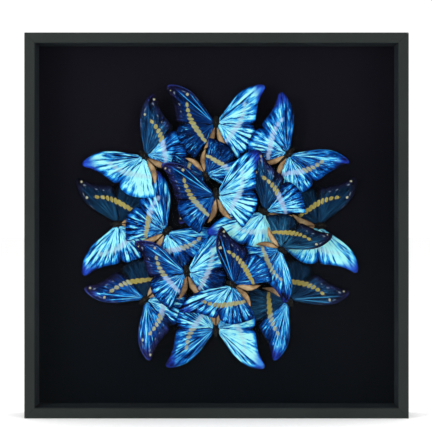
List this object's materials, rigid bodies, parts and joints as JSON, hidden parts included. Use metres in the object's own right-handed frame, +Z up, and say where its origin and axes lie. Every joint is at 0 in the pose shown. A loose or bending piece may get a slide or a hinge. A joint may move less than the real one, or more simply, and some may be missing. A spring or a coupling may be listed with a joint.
{
  "type": "framed butterfly specimen",
  "caption": "Glazed box frame with set blue butterflies pinned in an overlapping pattern over a black board, to stand on a shelf or hang on a wall",
  "frame": {"origin": "centre of the bottom rail's underside, midway through the depth", "axes": "+Z up, -Y out of the glass towards the viewer, +X to the viewer's right"},
  "size_m": [0.5, 0.06, 0.502],
  "materials": {
    "frame_paint": "dark grey-green satin paint over fine-grained wood",
    "spacer_black": "matt black painted wood",
    "glass": "clear picture glass, polished",
    "board_black": "matt black mount board with a fine fibre tooth",
    "back_board": "plain brown hardboard",
    "hanger_steel": "zinc plated steel",
    "body_hair": "dark brown dry insect body with short hair",
    "wing": "scaled butterfly wing, iridescent blue from navy to pale cyan with a yellow to lilac band"
  },
  "bodies": {
    "root": {"rail_bottom": "frame_paint", "rail_right": "frame_paint", "rail_top": "frame_paint", "rail_left": "frame_paint", "spacer_bottom": "spacer_black", "spacer_right": "spacer_black", "spacer_top": "spacer_black", "spacer_left": "spacer_black", "glass_pane": "glass", "mount_board": "board_black", "back_board": "back_board", "hanger_plate": "hanger_steel", "hanger_screw_left": "hanger_steel", "hanger_screw_right": "hanger_steel", "top_body": "body_hair", "top_wings_left": "wing", "top_wings_right": "wing", "upper_left_body": "body_hair", "upper_left_wings_left": "wing", "upper_left_wings_right": "wing", "upper_right_body": "body_hair", "upper_right_wings_left": "wing", "upper_right_wings_right": "wing", "left_body": "body_hair", "left_wings_left": "wing", "left_wings_right": "wing", "right_body": "body_hair", "right_wings_left": "wing", "right_wings_right": "wing", "lower_left_body": "body_hair", "lower_left_wings_left": "wing", "lower_left_wings_right": "wing", "lower_right_body": "body_hair", "lower_right_wings_left": "wing", "lower_right_wings_right": "wing", "bottom_body": "body_hair", "bottom_wings_left": "wing", "bottom_wings_right": "wing", "inner_top_body": "body_hair", "inner_top_wings_left": "wing", "inner_top_wings_right": "wing", "centre_body": "body_hair", "centre_wings_left": "wing", "centre_wings_right": "wing", "inner_left_body": "body_hair", "inner_left_wings_left": "wing", "inner_left_wings_right": "wing", "inner_low_left_body": "body_hair", "inner_low_left_wings_left": "wing", "inner_low_left_wings_right": "wing", "inner_right_body": "body_hair", "inner_right_wings_left": "wing", "inner_right_wings_right": "wing", "inner_low_right_body": "body_hair", "inner_low_right_wings_left": "wing", "inner_low_right_wings_right": "wing", "inner_low_body": "body_hair", "inner_low_wings_left": "wing", "inner_low_wings_right": "wing"}
  },
  "joints": []
}
